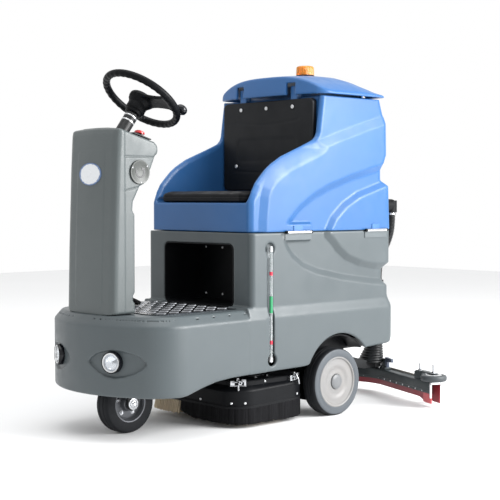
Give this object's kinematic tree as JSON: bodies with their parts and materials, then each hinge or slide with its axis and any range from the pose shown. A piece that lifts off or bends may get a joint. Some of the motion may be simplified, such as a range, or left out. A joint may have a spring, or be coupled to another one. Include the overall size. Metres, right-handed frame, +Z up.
{
  "type": "ride-on floor scrubber",
  "caption": "Ride-on floor scrubber with steered front drive wheel, twin disc brush deck, swinging rear squeegee, tilting recovery tank with seat and lid.",
  "frame": {"origin": "on the floor under the middle of the whole machine, centre of its plan box", "axes": "-Y is the front, the way it drives; +X is the driver's left; +Z up"},
  "size_m": [1.058, 1.7159, 1.478],
  "materials": {
    "grey_shell": "satin moulded grey",
    "blue_shell": "satin moulded blue",
    "black_plastic": "satin black",
    "black_gloss": "gloss black",
    "frame_paint": "black powder coat",
    "steel": "machined",
    "tread_plate": "bright tread plate",
    "tyre_black": "matt black",
    "tyre_grey": "matt dark grey",
    "rim_grey": "light grey moulded",
    "roller_grey": "mid grey non-marking",
    "seat_vinyl": "black embossed vinyl over foam",
    "blade_red": "translucent red polyurethane",
    "hose_black": "corrugated black",
    "bristle_black": "black bristle strip",
    "brush_beige": "beige nylon tufts on a black disc",
    "amber_lens": "amber",
    "clear_lens": "clear",
    "white_badge": "plain white",
    "red_button": "red",
    "panel_dark": "dark panel",
    "gauge_clear": "clear tube",
    "battery_case": "battery cases"
  },
  "bodies": {
    "chassis": {"chassis_frame": "frame_paint", "rear_axle": "steel", "solution_tank": "grey_shell", "level_tube": "gauge_clear", "front_bumper": "grey_shell", "headlight_bezels": "black_gloss", "headlight_lenses": "clear_lens", "battery_box": "black_plastic", "battery_pack": "battery_case", "leg_recess_liner": "black_gloss", "platform_plate": "tread_plate", "column_housing": "grey_shell", "badge_disc": "white_badge", "column_side_plate": "panel_dark", "control_panel": "panel_dark", "column_tube": "frame_paint", "steering_chain": "steel", "deck_actuator": "steel", "hinge_leaves": "steel", "hose_clip": "black_plastic"},
    "steering_wheel": {"steering_wheel": "black_plastic", "steering_shaft": "steel"},
    "spinner_knob": {"spinner_knob": "black_plastic"},
    "lower_shaft": {"lower_steering_shaft": "steel"},
    "drive_fork": {"drive_fork": "frame_paint"},
    "drive_wheel": {"drive_tyre": "tyre_black", "drive_rim": "frame_paint"},
    "accelerator_pedal": {"accelerator_pedal": "black_plastic"},
    "emergency_stop": {"emergency_stop": "red_button"},
    "ignition_key": {"ignition_key": "steel"},
    "horn_button": {"horn_button": "black_plastic"},
    "rear_wheel_left": {"rear_tyre_left": "tyre_grey", "rear_rim_left": "rim_grey"},
    "rear_wheel_right": {"rear_tyre_right": "tyre_grey", "rear_rim_right": "rim_grey"},
    "brush_deck": {"deck_housing": "black_plastic", "deck_skirt": "bristle_black", "brush_motors": "frame_paint"},
    "brush_left": {"brush_left": "brush_beige"},
    "brush_right": {"brush_right": "brush_beige"},
    "squeegee_arm": {"squeegee_arm": "frame_paint", "suction_hose_lower": "hose_black"},
    "squeegee": {"squeegee_body": "frame_paint", "squeegee_blades": "blade_red", "suction_nozzle": "black_plastic"},
    "roller_left": {"roller_left": "roller_grey"},
    "roller_right": {"roller_right": "roller_grey"},
    "caster_left": {"caster_left": "roller_grey"},
    "caster_right": {"caster_right": "roller_grey"},
    "recovery_tank": {"recovery_tank": "blue_shell", "hinge_knuckles": "steel", "hose_elbow": "black_plastic", "suction_hose_upper": "hose_black", "seat_cushion": "seat_vinyl", "backrest_panel": "seat_vinyl", "float_filter": "rim_grey", "vacuum_motor": "black_plastic"},
    "tank_lid": {"tank_lid": "blue_shell", "beacon_base": "black_plastic", "beacon_lens": "amber_lens"}
  },
  "joints": [
    {"name": "steering_turn", "type": "hinge", "parent": "chassis", "child": "steering_wheel", "pos_m": [0, -0.554, 1.285], "axis": [0, 0.599, 0.8007], "range_deg": [-165, 165]},
    {"name": "lower_shaft_turn", "type": "hinge", "parent": "chassis", "child": "lower_shaft", "pos_m": [0, -0.735, 0.6], "axis": [0, 0, 1], "range_deg": [-166, 166]},
    {"name": "fork_steer", "type": "hinge", "parent": "chassis", "child": "drive_fork", "pos_m": [0, -0.64, 0.3], "axis": [0, 0, 1], "range_deg": [-83, 83]},
    {"name": "drive_wheel_spin", "type": "hinge", "parent": "drive_fork", "child": "drive_wheel", "pos_m": [0, -0.64, 0.115], "axis": [1, 0, 0], "continuous": true},
    {"name": "knob_spin", "type": "hinge", "parent": "steering_wheel", "child": "spinner_knob", "pos_m": [0.0942, -0.44859, 1.22463], "axis": [0, 0.599, 0.8007], "continuous": true},
    {"name": "pedal_press", "type": "hinge", "parent": "chassis", "child": "accelerator_pedal", "pos_m": [-0.1525, -0.478, 0.484], "axis": [1, 0, 0], "range_deg": [0, 12], "stiffness_Nm_per_rad": 4, "springref_deg": -8.59},
    {"name": "emergency_stop_press", "type": "slide", "parent": "chassis", "child": "emergency_stop", "axis": [0, -0.2723, -0.9622], "range_m": [0, 0.005], "stiffness_N_per_m": 300, "springref_m": -0.003},
    {"name": "horn_press", "type": "slide", "parent": "chassis", "child": "horn_button", "axis": [0, -0.2723, -0.9622], "range_m": [0, 0.003], "stiffness_N_per_m": 300, "springref_m": -0.002},
    {"name": "key_turn", "type": "hinge", "parent": "chassis", "child": "ignition_key", "pos_m": [-0.098, -0.63435, 1.13643], "axis": [0, -0.2723, -0.9622], "range_deg": [0, 90]},
    {"name": "rear_left_spin", "type": "hinge", "parent": "chassis", "child": "rear_wheel_left", "pos_m": [0.2785, 0.225, 0.14], "axis": [1, 0, 0], "continuous": true},
    {"name": "rear_right_spin", "type": "hinge", "parent": "chassis", "child": "rear_wheel_right", "pos_m": [-0.2785, 0.225, 0.14], "axis": [1, 0, 0], "continuous": true},
    {"name": "deck_lift", "type": "slide", "parent": "chassis", "child": "brush_deck", "axis": [0, 0, 1], "range_m": [-0.014, 0.044]},
    {"name": "brush_left_spin", "type": "hinge", "parent": "brush_deck", "child": "brush_left", "pos_m": [0.14, -0.118, 0.1], "axis": [0, 0, 1], "continuous": true},
    {"name": "brush_right_spin", "type": "hinge", "parent": "brush_deck", "child": "brush_right", "pos_m": [-0.14, -0.118, 0.1], "axis": [0, 0, 1], "continuous": true},
    {"name": "squeegee_lift", "type": "hinge", "parent": "chassis", "child": "squeegee_arm", "pos_m": [0, 0.47, 0.2], "axis": [1, 0, 0], "range_deg": [-5.4, 7], "deforming": ["suction_hose_lower"]},
    {"name": "squeegee_swing", "type": "hinge", "parent": "squeegee_arm", "child": "squeegee", "pos_m": [0, 0.831, 0.13], "axis": [0, 0, 1], "range_deg": [-15, 15]},
    {"name": "roller_left_spin", "type": "hinge", "parent": "squeegee", "child": "roller_left", "pos_m": [0.472, 0.665, 0.1285], "axis": [0, 0, 1], "continuous": true},
    {"name": "caster_left_spin", "type": "hinge", "parent": "squeegee", "child": "caster_left", "pos_m": [0.432, 0.758, 0.06], "axis": [1, 0, 0], "continuous": true},
    {"name": "roller_right_spin", "type": "hinge", "parent": "squeegee", "child": "roller_right", "pos_m": [-0.472, 0.665, 0.1285], "axis": [0, 0, 1], "continuous": true},
    {"name": "caster_right_spin", "type": "hinge", "parent": "squeegee", "child": "caster_right", "pos_m": [-0.432, 0.758, 0.06], "axis": [1, 0, 0], "continuous": true},
    {"name": "tank_tilt", "type": "hinge", "parent": "chassis", "child": "recovery_tank", "pos_m": [0.327, 0, 0.767], "axis": [0, 1, 0], "range_deg": [0, 70], "deforming": ["suction_hose_upper"]},
    {"name": "lid_open", "type": "hinge", "parent": "recovery_tank", "child": "tank_lid", "pos_m": [0, 0.534, 1.33], "axis": [-1, 0, 0], "range_deg": [0, 75]}
  ],
  "couplings": [
    {"joint": "lower_shaft_turn", "follows": "steering_turn", "ratio": 1},
    {"joint": "fork_steer", "follows": "steering_turn", "ratio": 0.5}
  ]
}
